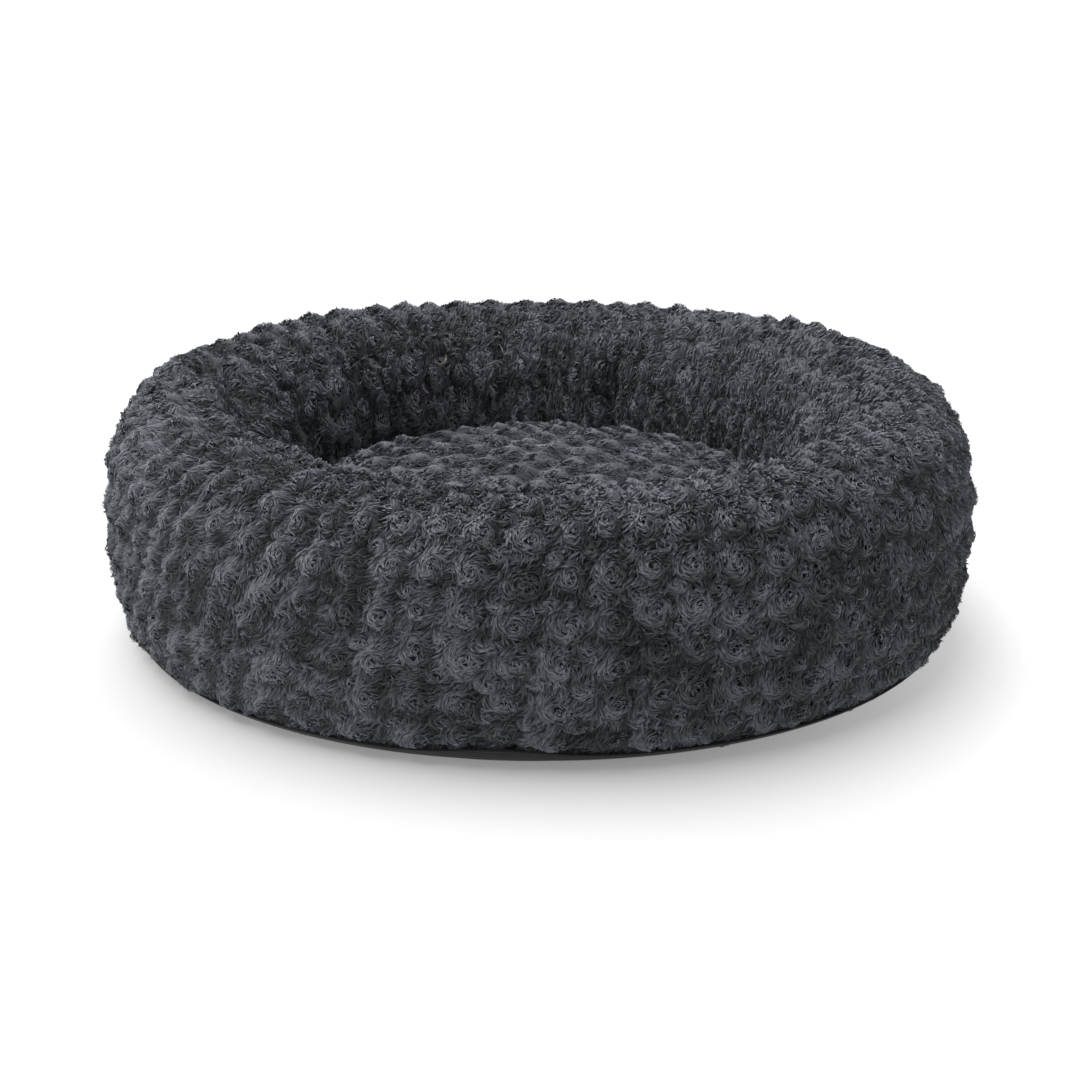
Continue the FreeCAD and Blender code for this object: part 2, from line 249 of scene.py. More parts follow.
sun_light("key", (0.33, -0.23, -0.92), 3.9, 62)
sun_light("side", (0.92, 0.3, -0.22), 0.85, 50, shadows=False)
world = bpy.data.worlds.new("studio")
bpy.context.scene.world = world
world.use_nodes = True
set_inputs(world.node_tree.nodes["Background"], {"Color": (0.97, 0.985, 1, 1), "Strength": 0.15})
bpy.context.scene.view_settings.view_transform = "Standard"
print("lights:", [item.name for item in bpy.data.lights])

# %% [markdown]
# ## Cloth surfaces as grids
# Each cover is a grid of points: one way runs round the bed, the other along the cloth's section.
# Anything that lies on the cloth finds its place by blending the four grid points around it. Hand modelling
# would do for the shapes, but the pile needs both ways of the cloth at every strand.

# %% Grids round the upright axis
def round_angles(count):
    """Angles of a grid's columns: a whole turn in count equal steps."""
    return np.arange(count) * 2 * math.pi / count


def revolved(radius, height, angles):
    """Grid of points: radius times the cosine and the sine of each column's angle, and the height."""
    cosines, sines = np.cos(angles)[:, None], np.sin(angles)[:, None]
    return np.stack([radius * cosines, radius * sines, height + 0 * cosines], -1)


def ring_faces(rounds, rows):
    """Quads of a grid that closes along its first axis: each joins two neighbours in two columns."""
    i, j = np.meshgrid(np.arange(rounds), np.arange(rows - 1), indexing="ij")
    after = (i + 1) % rounds
    corners = [i * rows + j, after * rows + j, after * rows + j + 1, i * rows + j + 1]
    return np.stack(corners, -1).reshape(-1, 4)


def close_pole(item):
    """Merge the points that a disc's first row has at its middle, and turn nothing else."""
    work = bmesh.new()
    work.from_mesh(item.data)
    bmesh.ops.remove_doubles(work, verts=work.verts, dist=1e-6)
    bmesh.ops.dissolve_degenerate(work, edges=work.edges, dist=1e-7)
    work.to_mesh(item.data)
    work.free()


print("a ring of 4 columns and 2 rows has", len(ring_faces(4, 2)), "faces")

# %% Directions and blends on a grid
def unit(vectors):
    """Vectors made 1 long: each divided by its own length."""
    return vectors / np.maximum(np.linalg.norm(vectors, axis=-1, keepdims=True), 1e-12)


def grid_normals(points):
    """Unit normals of a grid that closes along its first axis: the cross product of its two directions."""
    round_way = np.roll(points, -1, 0) - np.roll(points, 1, 0)
    along_way = np.gradient(points, axis=1)
    return unit(np.cross(round_way, along_way))


def periodic_smooth(values, passes):
    """Average each value, counted twice, with its two neighbours round the ring, as often as asked."""
    for _ in range(passes):
        values = (np.roll(values, 1, 0) + 2 * values + np.roll(values, -1, 0)) / 4
    return values


def sample_grid(values, around, along):
    """Blend a grid at fractional places: around counts cells and wraps, along counts cells and stops."""
    rounds, rows = values.shape[:2]
    along = np.clip(along, 0, rows - 1.001)
    i, j = np.floor(around).astype(int), np.floor(along).astype(int)
    a, b = (around - i)[..., None], (along - j)[..., None]
    i, after = i % rounds, (i + 1) % rounds
    low = values[i, j] * (1 - a) + values[after, j] * a
    high = values[i, j + 1] * (1 - a) + values[after, j + 1] * a
    return low * (1 - b) + high * b


def cloth_place(points, normals, around, along):
    """Points and unit normals of a cloth at fractional places of its grid."""
    return sample_grid(points, around, along), unit(sample_grid(normals, around, along))


# %% [markdown]
# ## Section of the bolster
# Cut through, the stuffed ring shows a bulging outer wall, a rounded crest, and an inner wall that leans
# over its own foot. A freehand curve would do, but four rounded corners end to end have numbers that mean
# something and follow the bed's radius.

# %% Curves
def quarter(start, end, power, upright_first, count=90):
    """A rounded corner from start to end: |x|^p + |y|^p = 1, so power 2 is an ellipse and more is squarer."""
    t = np.linspace(0, math.pi / 2, count)
    rise, run = np.sin(t) ** (2 / power), 1 - np.cos(t) ** (2 / power)
    if not upright_first:
        rise, run = run, rise
    return np.stack([start[0] + (end[0] - start[0]) * run, start[1] + (end[1] - start[1]) * rise], 1)


def even_steps(path, step):
    """Points a fixed step apart along a path, and the path's length."""
    lengths = np.concatenate([[0], np.cumsum(np.linalg.norm(np.diff(path, axis=0), axis=1))])
    places = np.arange(0, lengths[-1], step)
    return np.stack([np.interp(places, lengths, path[:, k]) for k in (0, 1)], 1), lengths[-1]


def inset_path(path, depth):
    """The path moved by depth to its left, at right angles to its own way."""
    way = unit(np.gradient(path, axis=0))
    return path + depth * np.stack([-way[:, 1], way[:, 0]], 1)


print("a quarter's middle:", quarter((0, 0), (1, 1), 2, True)[45].round(2))

# %% Section of the bolster
BASE_RADIUS = 0.897 * OUTER_RADIUS
BULGE_HEIGHT = 0.298 * OUTER_RADIUS
CREST_RADIUS = 0.838 * OUTER_RADIUS
HOLLOW_RADIUS = 0.582 * OUTER_RADIUS
HOLLOW_HEIGHT = 0.262 * OUTER_RADIUS
INNER_FOOT = (0.664 * OUTER_RADIUS, 0.012 * OUTER_RADIUS)
outer_lower = quarter((BASE_RADIUS, 0.0), (OUTER_RADIUS, BULGE_HEIGHT), 2.36, False)
outer_upper = quarter((OUTER_RADIUS, BULGE_HEIGHT), (CREST_RADIUS, BED_HEIGHT), 2.36, True)
inner_upper = quarter((CREST_RADIUS, BED_HEIGHT), (HOLLOW_RADIUS, HOLLOW_HEIGHT), 2.2, False)
inner_lower = quarter((HOLLOW_RADIUS, HOLLOW_HEIGHT), INNER_FOOT, 2.0, True)
outline = np.concatenate([outer_lower[:-1], outer_upper[:-1], inner_upper[:-1], inner_lower])

RING_STEP = 0.003
RING_ROUNDS = 528
LOWEST_CLOTH = 0.004
section, section_length = even_steps(outline, RING_STEP)
section = inset_path(section, PILE_DEPTH)
section[:, 1] = np.maximum(section[:, 1], LOWEST_CLOTH)
ROWS = len(section)
row_numbers = np.arange(ROWS)
share = row_numbers / (ROWS - 1)
crest_row = int(np.argmax(section[:, 1]))
print(f"bolster cloth {1000 * section_length:.0f} mm long, {ROWS} rows, crest at row {crest_row}")

# %% [markdown]
# ## Unevenness round the bed
# More fibre goes in here than there, and the foot's seam wanders. Random noise would be jagged, so a few
# slow waves and single smooth bumps lift the crest and the hem.

# %% Waves and bumps
turn = round_angles(RING_ROUNDS)


def wave(count, seed, first=2):
    """Gentle unevenness round the ring: a few whole-number waves with chosen phases, about 1 high."""
    phases = np.random.default_rng(seed).uniform(0, 2 * math.pi, count)
    return sum(np.cos((k + first) * turn + phases[k]) / (k + first) for k in range(count)) * first / 2


def bump(azimuth_degrees, width_degrees):
    """A smooth rise round one place of the ring, in degrees from the front towards the left: e to the minus
    square of the distance over the width."""
    azimuth = np.radians(-90 - azimuth_degrees)
    away = np.angle(np.exp(1j * (turn - azimuth)))
    return np.exp(-((away / np.radians(width_degrees)) ** 2))


crest_lift = 0.001 * wave(6, 3) + 0.004 * bump(46, 14) + 0.0055 * bump(118, 28) + 0.003 * bump(-128, 26)
hem = 0.0004 + 0.0004 * wave(9, 8, 5) + 0.006 * bump(5, 9)
print(f"crest lifted by up to {1000 * crest_lift.max():.1f} mm, hem by up to {1000 * hem.max():.1f} mm")

# %% The uneven ring
FOOT_HEIGHT = 0.016
LEAN_IN_OUT = 0.0012
high = np.clip(section[:, 1] / BED_HEIGHT, 0, 1) ** 2
foot = np.exp(-((section[:, 1] / FOOT_HEIGHT) ** 2)) * (row_numbers < crest_row)
radius = section[None, :, 0] + LEAN_IN_OUT * wave(7, 5)[:, None] * np.sin(math.pi * share)
height = section[None, :, 1] + crest_lift[:, None] * high + hem[:, None] * foot
ring = revolved(radius, height, turn)


def outward(points):
    """Grid normals, turned so that the bulge's point away from the bed's middle."""
    normals = grid_normals(points)
    return normals * np.sign(normals[0, crest_row // 2, 0])


print(f"ring from {1000 * ring[..., 2].min():.1f} to {1000 * ring[..., 2].max():.1f} mm high")

# %% [markdown]
# ## Lip and folds
# At the near left the cloth rolls over the crest as a lip, with a furrow behind it, and the slack inner wall
# hangs in upright folds. Both could be sculpted. Here the lip is a ridge with its row and height given at a
# few places, and the folds are rounded waves. The same shapes paint light and shade into the pile: painted
# highlights on the ridge and the folds' crests, painted shade in the crease, the furrow and the folds'
# hollows.

# %% Lip and furrow
LIP_ROW_AT = ([-100, -62, -20, 25, 45, 70, 85, 96, 112, 130], [0, 7, 0, 2, 8, 9, 6, -1, -8, -10])
LIP_MM_AT = ([-100, -62, -25, 22, 45, 70, 100, 114, 126], [0, 5, 0, 0, 7, 12, 11, 5, 0])
rows = (row_numbers - crest_row)[None, :]
azimuth = np.degrees(np.angle(np.exp(-1j * (turn + math.pi / 2))))
lip_row = np.interp(azimuth, *LIP_ROW_AT)[:, None]
lip_high = np.interp(azimuth, *LIP_MM_AT)[:, None] / 1000


def beside_lip(rows_behind, width):
    """A smooth line that follows the lip round, some rows behind it and some rows wide."""
    return np.exp(-(((rows - lip_row - rows_behind) / width) ** 2))


ridge, crease, furrow = beside_lip(0, 3.0), beside_lip(6, 3.0), beside_lip(11, 6.5)
lip = lip_high * (0.45 * ridge - 1.1 * furrow)
print(f"lip up to {1000 * lip.max():.1f} mm high, furrow {-1000 * lip.min():.1f} mm deep")

# %% Folds and painted shades
FOLDS_ROUND = 31
FOLD_DEPTH = 0.0085
inner_share = np.clip((row_numbers - crest_row - 7) / 17, 0, 1)
outer_share = np.clip((crest_row - 4 - row_numbers) / 12, 0, 1)
fold_angle = turn * FOLDS_ROUND + 4.5 * wave(9, 11)
folds = (np.abs(np.sin(fold_angle / 2)) ** 0.6 - 0.75) * (0.6 + 0.5 * wave(5, 12))
# painted highlights on the lip's ridge and the folds' crests, painted shade in its crease, its furrow and the
# folds' hollows
painted_shades = lip_high * (22 * ridge - 34 * crease - 8 * furrow) + 0.65 * folds[:, None] * inner_share
# painted shade on the inner wall behind the lip at the back left
painted_shades = painted_shades - 0.16 * bump(112, 34)[:, None] * np.clip((rows - lip_row - 2) / 5, 0, 1)
# painted shade on the outer wall of the right side, away from the light
painted_shades = painted_shades - 0.36 * bump(-80, 42)[:, None] * outer_share
# painted light on the top of the right crest
painted_shades = painted_shades + 0.2 * bump(-75, 50)[:, None] * high**4 * (1 - outer_share)
ring = ring + outward(ring) * (lip + FOLD_DEPTH * folds[:, None] * inner_share**1.2)[..., None]
print(f"shades from {painted_shades.min():.2f} to {painted_shades.max():.2f}")

# %% [markdown]
# ## Filling the ring
# A stuffed cover is tight where it bulges and slack where it is drawn in, and there it buckles. Smooth
# formulas never look like that, so a coarse copy of the ring is blown up with Blender's cloth solver.
# Its inner wall is given cloth to spare, which the pressure pushes into upright gathers.
# Only the distance that each point moved is kept, and no point may move further than the cap.

# %% Cloth solver
def inflate(name, points, faces, pinned, slack, spare, cap):
    """Move of each point after 20 frames of pressure, at most cap long. pinned holds point numbers, and
    slack runs from 0 to 1 for each point: cloth there is longer than its shape by spare."""
    item = mesh_object(name, points, faces)
    item.vertex_groups.new(name="pinned").add(pinned.tolist(), 1.0, "REPLACE")
    group = item.vertex_groups.new(name="slack")
    levels = np.round(slack * 8).astype(int)
    for level in range(9):
        group.add(np.nonzero(levels == level)[0].tolist(), level / 8, "REPLACE")
    modifier = item.modifiers.new("cloth", "CLOTH")
    cloth = modifier.settings
    cloth.quality = 6
    cloth.mass = 0.25
    cloth.use_pressure = True
    cloth.uniform_pressure_force = 4
    cloth.effector_weights.gravity = 0
    cloth.vertex_group_mass = "pinned"
    cloth.vertex_group_shrink = "slack"
    cloth.shrink_min, cloth.shrink_max = 0.0, -spare
    cloth.tension_stiffness = cloth.compression_stiffness = 12
    cloth.bending_stiffness = 0.08
    cloth.air_damping = 1
    modifier.collision_settings.use_collision = False
    for number in range(1, 21):
        bpy.context.scene.frame_set(number)
    shown = item.evaluated_get(bpy.context.evaluated_depsgraph_get())
    result = np.empty(len(points) * 3, np.float32)
    shown.data.vertices.foreach_get("co", result)
    move = result.reshape(-1, 3) - points
    far = np.linalg.norm(move, axis=1, keepdims=True)
    bpy.data.objects.remove(item)
    bpy.context.scene.frame_set(1)
    print(f"{name}: moved {1000 * np.median(far):.1f} mm, at most {1000 * far.max():.1f} mm")
    return move * np.minimum(1, cap / np.maximum(far, 1e-9))


def filled(points, normals, moved, kept_rows, skip):
    """The fine grid after the coarse grid's moves: they are blended, only the part along each normal is
    kept, less its mean round the ring, and it is smoothed twice. skip columns lie between coarse ones."""
    columns, row_count = points.shape[:2]
    row_of = np.interp(np.arange(row_count), kept_rows, np.arange(len(kept_rows)))
    around = np.arange(columns)[:, None] / skip + np.zeros((1, row_count))
    spread = sample_grid(moved, around, row_of[None, :] + np.zeros((columns, 1)))
    away = (spread * normals).sum(2)
    away = periodic_smooth(away - away.mean(0, keepdims=True), 2)
    print(f"gathers up to {1000 * np.abs(away).max():.1f} mm deep")
    return points + normals * away[..., None]

# %% [markdown]
# ## The bolster's filling
# Pressure needs a closed shell, so rows of cloth under the bed join the two feet. They stay pinned, as the
# base cloth holds them. Gathers are wide, so every second column and row is enough, and takes seconds.

# %% Filling the bolster
COARSE_SKIP = 2
UNDER_ROWS = 14
BOLSTER_SPARE, BOLSTER_CAP = 0.35, 0.009
coarse_columns, coarse_rows = RING_ROUNDS // COARSE_SKIP, ROWS // COARSE_SKIP
kept_rows = np.linspace(0, ROWS - 1, coarse_rows).round().astype(int)
coarse = ring[::COARSE_SKIP][:, kept_rows]
towards_start = np.linspace(1, 0, UNDER_ROWS)[1:-1][None, :, None]
under = coarse[:, -1:] * (1 - towards_start) + coarse[:, :1] * towards_start
shell = np.concatenate([coarse, under[:, ::-1]], 1)
shell_rows = shell.shape[1]
i, j = np.meshgrid(np.arange(coarse_columns), np.arange(shell_rows), indexing="ij")
next_i, next_j = (i + 1) % coarse_columns, (j + 1) % shell_rows
shell_faces = np.stack(
    [i * shell_rows + j, next_i * shell_rows + j, next_i * shell_rows + next_j, i * shell_rows + next_j], -1
).reshape(-1, 4)
pinned = (i * shell_rows + j)[(j >= coarse_rows - 1) | (j <= 1)]
spare_share = np.concatenate([inner_share[kept_rows] ** 0.7, np.zeros(shell_rows - coarse_rows)])
slack = np.broadcast_to(spare_share, (coarse_columns, shell_rows)).ravel()
moved = inflate(
    "bolster_filling", shell.reshape(-1, 3), shell_faces, pinned, slack, BOLSTER_SPARE, BOLSTER_CAP
).reshape(shell.shape)
ring = filled(ring, outward(ring), moved[:, :coarse_rows], kept_rows, COARSE_SKIP)
ring_normals = outward(ring)
print("shell of", shell_rows * coarse_columns, "points")

# %% [markdown]
# ## Roses
# The mill presses the pile into roses on a square grid, with a smaller tuft in the middle of each square.
# A picture of plush would be flat at the edge. So the roses are a field in the cloth's own lengths, u round
# it and v along its section: a strand belongs to its nearest rose, and curls round that rose's middle.

# %% Rose field
TABLE_ROWS = 64
ROSE_STRAY = 0.08
ROSE_SIZE_RANGE = 0.16
PULL_TURN, PULL_WIDTH, PULL = math.radians(90 + 60), math.radians(40), 0.62
jitter_table = random.uniform(-1, 1, (4, ROSES_ROUND, TABLE_ROWS))


def ease(value, low, high):
    """0 below low, 1 above high, and a smooth S between: 3 t squared less 2 t cubed."""
    t = np.clip((value - low) / (high - low), 0, 1)
    return t * t * (3 - 2 * t)


def bent_rows(u, v):
    """Slow waves that bend the rows of roses a little, in units of the pitch. On the near left the cloth is
    pulled askew as well: u there is less by a share of v, so the columns lean to the right as they rise."""
    once = 2 * math.pi / CLOTH_ROUND
    from_pull = np.angle(np.exp(1j * (once * u + PULL_TURN)))
    pull = PULL * np.exp(-((from_pull / PULL_WIDTH) ** 2))
    bent_u = u - pull * (v - 0.1) + 0.0030 * np.sin(11 * once * u + 21 * v)
    bent_u = bent_u + 0.0016 * np.sin(19 * once * u - 43 * v + 2)
    bent_v = v + 0.0032 * np.sin(13 * once * u + 17 * v + 1) + 0.0016 * np.sin(23 * once * u - 37 * v)
    return bent_u / ROSE_PITCH, bent_v / ROSE_PITCH


def nearest_rose(u, v, shift=0.0):
    """Offset from the nearest rose's middle in metres, the distance as a share of half the pitch, and a
    number from 0 to 1 that is the rose's own. Every rose strays a little from its place. A shift of a
    half gives the small tufts between the roses instead."""
    bent_u, bent_v = bent_rows(u, v)
    i, j = np.round(bent_u - shift), np.round(bent_v - shift)
    cell = i.astype(int) % ROSES_ROUND, (j.astype(int) + int(TABLE_ROWS * shift)) % TABLE_ROWS
    du = (bent_u - i - shift - ROSE_STRAY * jitter_table[0][cell]) * ROSE_PITCH
    dv = (bent_v - j - shift - ROSE_STRAY * jitter_table[1][cell]) * ROSE_PITCH
    size = 1 + ROSE_SIZE_RANGE * jitter_table[2][cell]
    return du, dv, np.hypot(du, dv) / (0.5 * ROSE_PITCH * size), 0.5 + 0.5 * jitter_table[3][cell]


print("roses in the table:", ROSES_ROUND * TABLE_ROWS)

# %% [markdown]
# ## Height, patches and locks
# Plush varies in the pressed height of its roses, in the way it was last brushed, and in the locks in which
# its hairs cling together. One noise could not be all three, so each is its own smooth field.

# %% Fields over the cloth
ROSE_RISE = 0.0062
LOCK_CELLS = 330
PATCH_COUNTS = np.array([[3, 0.9], [5, -1.7], [8, 2.3], [13, 1.1], [17, -2.9], [23, 3.7], [29, -1.3]])


def rose_relief(u, v, tufted=1.0):
    """Height of the pile's surface: crossed cosine waves make a low mound of each rose and a pit where
    four roses meet, and a small tuft stands in each pit, tufted times its usual height."""
    bent_u, bent_v = bent_rows(u, v)
    own = nearest_rose(u, v)[3]
    mounds = 0.5 + 0.25 * (np.cos(2 * math.pi * bent_u) + np.cos(2 * math.pi * bent_v))
    reach, tuft_own = nearest_rose(u, v, 0.5)[2:]
    tufts = tufted * (0.3 + 0.45 * tuft_own) * np.exp(-((reach / 0.4) ** 2))
    return ROSE_RISE * ((0.8 + 0.4 * own) * mounds + tufts - 0.45)


patch_phases = random.uniform(0, 2 * math.pi, (len(PATCH_COUNTS), 2))


def nap_patches(u, v):
    """Slow changes in how the pile lies, about -1 to 1: the sum of waves that close round the bed, each a
    sine round it times a cosine across."""
    around = u / CLOTH_ROUND * 2 * math.pi
    waves = [
        np.sin(count * around + across * v / 0.04 + first) * np.cos(across * v / 0.07 + second)
        for (count, across), (first, second) in zip(PATCH_COUNTS, patch_phases)
    ]
    return sum(waves) / 2.2


lock_table = random.uniform(-1, 1, (3, LOCK_CELLS, LOCK_CELLS))


def locks(layer, u, v):
    """Smooth noise about one lock of pile wide, 5 mm: random numbers on a grid, blended with ease."""
    x, y = u / CLOTH_ROUND * LOCK_CELLS, v / CLOTH_ROUND * LOCK_CELLS
    i, j = np.floor(x).astype(int), np.floor(y).astype(int)
    a, b = ease(x - i, 0, 1), ease(y - j, 0, 1)
    i, j, after_i, after_j = i % LOCK_CELLS, j % LOCK_CELLS, (i + 1) % LOCK_CELLS, (j + 1) % LOCK_CELLS
    table = lock_table[layer]
    near = table[i, j] * (1 - a) + table[after_i, j] * a
    far = table[i, after_j] * (1 - a) + table[after_i, after_j] * a
    return near * (1 - b) + far * b


print(f"a lock is {1000 * CLOTH_ROUND / LOCK_CELLS:.1f} mm wide")

# %% [markdown]
# ## Growing the pile
# A strand is a few hairs that cling together, curl with their rose, and taper to a tip. Blender's own hair
# could grow it, but can't leave Blender as a plain model. So each strand is a ribbon of one quad and one
# triangle. The work is split: where it stands, the path it takes, its ribbon, and its tone.

# %% Where a strand stands
NAP = math.radians(-128)
STRAND_SHARES = np.array([0.0, 0.55, 1.0])[:, None]


def standing(u, v, tufted):
    """The facts of each strand's place: its rose's angle, reach and own number, those of the tuft between
    the roses, whether it is in that tuft, and 1 to 0 for how near it is to its rose's middle. distance and
    angle are measured in the tuft for a strand in one, and else in the rose."""
    du, dv, reach, own = nearest_rose(u, v)
    tuft_du, tuft_dv, tuft_reach, tuft_own = nearest_rose(u, v, 0.5)
    in_tuft = (tuft_reach < 0.5) & (tufted > 0.5)
    rose_angle = np.arctan2(dv, du)
    return SimpleNamespace(
        rose_angle=rose_angle, reach=reach, own=own, middle=1 - ease(reach, 0.1, 0.38),
        tuft_reach=tuft_reach, tuft_own=tuft_own, in_tuft=in_tuft,
        distance=np.where(in_tuft, np.hypot(tuft_du, tuft_dv), np.hypot(du, dv)),
        angle=np.where(in_tuft, np.arctan2(tuft_dv, tuft_du), rose_angle),
    )


def strand_paths(u, v, spot, length, unruly, combed, chance):
    """Root, middle and tip of each strand on the cloth laid flat. It sets out a quarter turn from the line
    to its rose's middle, and turns by its length over its distance from there. Between the roses it lies
    along the nap instead, and locks, chance and unruly turn it aside."""
    count = len(u)
    strand = length * chance.uniform(0.6, 1.4, count)
    in_rose = 1 - ease(spot.reach, 0.62 - 0.3 * combed, 1.05 - 0.15 * combed)
    curl = np.where(spot.in_tuft, 1.0 - 0.5 * combed, in_rose)
    spiral = spot.angle + 0.5 * math.pi + np.where(spot.in_tuft, 0.6, 0.15)
    nap_lean = NAP + 0.5 * nap_patches(v + 0.1, u)
    heading = np.arctan2(
        curl * np.sin(spiral) + (1 - curl) * np.sin(nap_lean),
        curl * np.cos(spiral) + (1 - curl) * np.cos(nap_lean),
    )
    heading = heading + 0.45 * locks(0, u, v) + chance.normal(0, 0.25, count)
    heading = heading + (unruly + 0.9 * spot.middle) * chance.normal(0, 1.0, count)
    tightness = np.clip(strand / np.maximum(spot.distance, 0.003), 0, 1.5)
    turning = tightness * chance.uniform(0.4, 1.1, count) * curl
    turning = turning + chance.normal(0, 0.35, count)
    bend = heading + turning * (STRAND_SHARES - 0.25)
    step = np.diff(STRAND_SHARES, axis=0) * strand * (1 - 0.4 * spot.middle)
    step_bend = (bend[1:] + bend[:-1]) / 2
    start = np.zeros((1, count))
    move_u = np.concatenate([start, np.cumsum(step * np.cos(step_bend), 0)])
    move_v = np.concatenate([start, np.cumsum(step * np.sin(step_bend), 0)])
    return u - 0.4 * move_u[-1] + move_u, v - 0.4 * move_v[-1] + move_v


print("the nap lies at", round(math.degrees(NAP)), "degrees")

# %% Ribbons and tones
FLOOR_GAP = 0.0004
RIBBON_WIDTHS = np.array([0.8, 1.0, 0.0])[:, None, None]
RIBBON_CORNERS = np.array([0, 1, 3, 2, 2, 3, 4])
CORNER_LENGTHS = np.array([0.02, 0.02, 0.5, 0.5, 0.98])[RIBBON_CORNERS]
LIT_SIDE = math.radians(140)


def above_floor(points):
    """The same points, with none lower than the gap over the floor."""
    points[..., 2] = np.maximum(points[..., 2], FLOOR_GAP)
    return points


def ribbon_points(points, normals, width, rough, chance):
    """Five points for each strand: a pair across its root, a pair across its middle, and its tip. A ribbon
    lies flat on the cloth and is then rolled about its own way by chance."""
    count = points.shape[1]
    side = np.cross(np.gradient(points, axis=0), normals)
    side /= np.maximum(np.linalg.norm(side, axis=2, keepdims=True), 1e-9)
    roll = chance.normal(0, 0.6 * rough, count)[None, :, None]
    side = np.cos(roll) * side + np.sin(roll) * normals
    half = (0.5 * width * chance.uniform(0.65, 1.35, count))[None, :, None] * RIBBON_WIDTHS
    left, right = above_floor(points - side * half), above_floor(points + side * half)
    return np.stack([left[0], right[0], left[1], right[1], points[2]], 1)


def strand_tones(u, v, spot, relief, level, rough, combed, tufted, painted_light_and_shade, chance):
    """How light each strand is, 0 to 1: painted light on mounds, high in the pile, on the lit side of a rose
    and on the tufts between roses, painted shade in pits and on a rose's far side, tone by patch, lock and
    chance, and painted_light_and_shade on top."""
    # painted shade: strands low in the roses' relief are darker, and where the tufts are low, the pits
    # between roses are painted dark too
    low = np.clip(relief / ROSE_RISE + 0.45, 0, 1)
    # painted highlight on each rose's side towards LIT_SIDE, painted shade on its far side
    painted_side_light_and_shade = ease(spot.reach, 0.15, 0.6) * np.cos(spot.rose_angle - LIT_SIDE)
    tone = 0.56 * low - 0.6 * (1 - tufted) * np.exp(-((spot.tuft_reach / 0.55) ** 2))
    # painted light on strands that stand high in the pile, with tone by chance
    speckle = 0.4 * (level - 0.35) + chance.normal(0, 0.13, len(u))
    tone = tone + rough * (1 - 0.5 * spot.middle) * speckle + (0.23 + 0.17 * combed) * painted_side_light_and_shade
    tone = tone + 0.32 * (spot.own - 0.5) + 0.27 * nap_patches(u, v)
    # the tufts between the roses are lighter: painted light on what stands highest, with a tone of their own
    tone = tone + (0.1 + 0.34 * (spot.tuft_own - 0.4)) * spot.in_tuft
    tone = tone + 0.13 * spot.middle + 0.2 * locks(1, u, v) + 0.14 * locks(2, u, v) + painted_light_and_shade - 0.03
    return np.clip(tone, 0.01, 0.99)

# %% Growing strands
def grow_pile(
    name, place, u, v, material, seed, length=0.0058, width=0.00105, unruly=0.0, calm=1.0, rough=1.0,
    painted_light_and_shade=0.0, combed=0.0, raised=0.0, tufted=1.0,
):
    """Strands at places u, v of a cloth. place(u, v) gives the cloth's points and normals. unruly, from 0 to
    1, turns strands at random, calm below 1 makes the roses shallower, rough below 1 evens the strands,
    combed lays them along the nap, painted_light_and_shade is painted light and shade added to their tone,
    raised lifts them, and tufted is how high the tufts between the roses stand. A strand's lift grows with
    its length to the power 1.4."""
    chance = np.random.default_rng(seed)
    count = len(u)
    spot = standing(u, v, tufted)
    path_u, path_v = strand_paths(u, v, spot, length, unruly, combed, chance)
    points, normals = place(path_u, path_v)
    relief = rose_relief(path_u, path_v, tufted) * calm + 0.0009 * locks(1, path_u, path_v)
    lift = chance.gamma(3.0, 0.00013, count) * (1 + 0.5 * unruly + 0.6 * spot.in_tuft) * rough
    level = chance.random(count)
    rise = relief + raised + 0.0005 * spot.middle + 0.0018 * rough * level + 0.0016
    rise = rise + lift * STRAND_SHARES**1.4 - 0.002 * (1 - STRAND_SHARES) ** 2
    points = above_floor(points + normals * rise[..., None])
    shape = ribbon_points(points, normals, width, rough, chance)
    tone = strand_tones(u, v, spot, relief[1], level, rough, combed, tufted, painted_light_and_shade, chance)
    corners = (np.arange(count) * 5)[:, None] + RIBBON_CORNERS
    begins = (np.arange(count) * 7)[:, None] + np.array([0, 4])
    item = mesh_from_arrays(name, shape.reshape(-1, 3), corners.ravel(), begins.ravel())
    coordinates = np.empty((count, 7, 2), np.float32)
    coordinates[..., 0], coordinates[..., 1] = tone[:, None], CORNER_LENGTHS[None, :]
    item.data.uv_layers.new(name="OFBake").data.foreach_set("uv", coordinates.ravel())
    item.data.materials.append(material)
    print(f"{name}: {count} strands, mean tone {tone.mean():.2f}")
    return item


def scatter(areas, count, chance):
    """Fractional grid places, as many in each cell as its share of the whole area."""
    total = np.cumsum(areas.ravel())
    picks = (np.arange(count) + chance.random(count)) / count * total[-1]
    cell = np.minimum(np.searchsorted(total, picks), areas.size - 1)
    i, j = np.unravel_index(cell, areas.shape)
    return i + chance.random(count), j + chance.random(count)


# %% [markdown]
# ## Finish of the plush
# The yarn is one charcoal polyester, yet plush looks mottled, for light dies between the strands. Noise in
# space would cut across strands, so each one's tone, with its painted light and shade, and its length are
# stored in its UV map, and the finish reads them: painted shade at the root, lighter towards the tip. A soft
# sheen stands for the down on the yarn.

